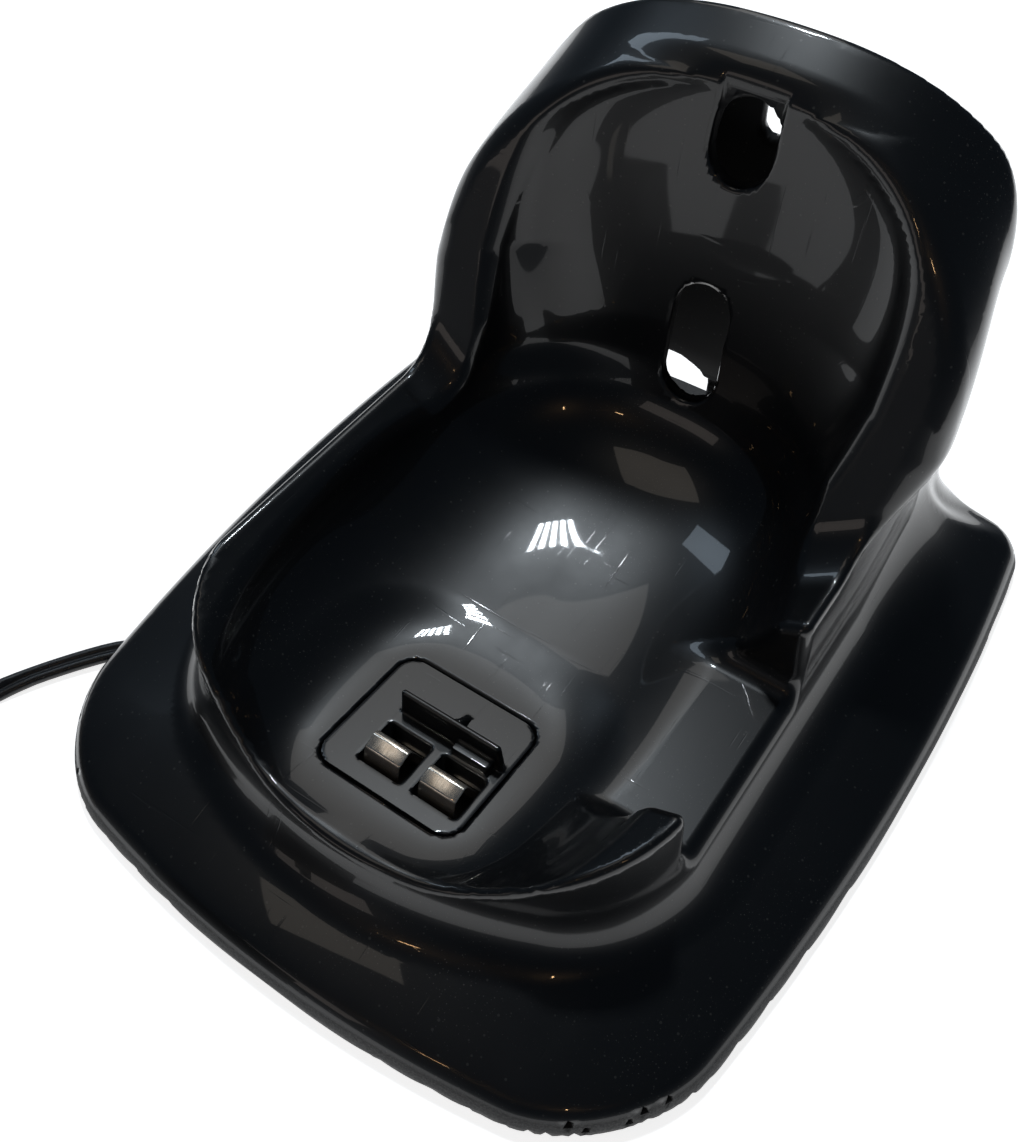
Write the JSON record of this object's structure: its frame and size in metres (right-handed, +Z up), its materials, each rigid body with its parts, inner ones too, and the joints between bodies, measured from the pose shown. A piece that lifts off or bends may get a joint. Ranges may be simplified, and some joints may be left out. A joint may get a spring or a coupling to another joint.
{
  "type": "cordless appliance charging base",
  "caption": "Glossy black charging cradle with a scooped bowl, sprung contacts, tall back with wall-screw slots, twin lead and plug-in adaptor.",
  "frame": {"origin": "on the surface the feet stand on, under the middle of the base", "axes": "+X to the base's right side, +Y to its tall back, +Z up"},
  "size_m": [0.2156, 0.2481, 0.1029],
  "materials": {
    "gloss_black": "high gloss moulded, fine dust and hairline scratches",
    "matt_black": "matt moulded",
    "rubber": "matt",
    "lead_black": "soft satin cable jacket",
    "plated": "bright nickel plating, slightly warm",
    "screw_steel": "zinc plated"
  },
  "bodies": {
    "base": {"upper_housing": "gloss_black", "base_plate": "matt_black", "foot_front_left": "rubber", "foot_front_right": "rubber", "foot_rear_left": "rubber", "foot_rear_right": "rubber", "base_screw_front_left": "screw_steel", "base_screw_front_right": "screw_steel", "base_screw_rear_left": "screw_steel", "base_screw_rear_right": "screw_steel", "contact_carrier": "gloss_black", "carrier_screw_left": "screw_steel", "carrier_screw_right": "screw_steel", "terminal_left": "plated", "terminal_right": "plated", "wire_left": "lead_black", "wire_right": "lead_black", "cord_clamp": "matt_black", "clamp_screw_1": "screw_steel", "clamp_screw_2": "screw_steel", "power_cord": "lead_black", "cord_coil": "lead_black", "cord_tie": "matt_black", "cord_tail": "lead_black", "adaptor_case": "matt_black", "adaptor_cover": "matt_black", "adaptor_pin_1": "plated", "adaptor_pin_2": "plated", "adaptor_strain_relief": "lead_black"},
    "left_contact": {"contact_left": "plated"},
    "right_contact": {"contact_right": "plated"}
  },
  "joints": [
    {"name": "left_contact_press", "type": "slide", "parent": "base", "child": "left_contact", "axis": [0, -0.0995, -0.995], "range_m": [0, 0.002], "stiffness_N_per_m": 700, "springref_m": -0.0006},
    {"name": "right_contact_press", "type": "slide", "parent": "base", "child": "right_contact", "axis": [0, -0.0995, -0.995], "range_m": [0, 0.002], "stiffness_N_per_m": 700, "springref_m": -0.0006}
  ]
}
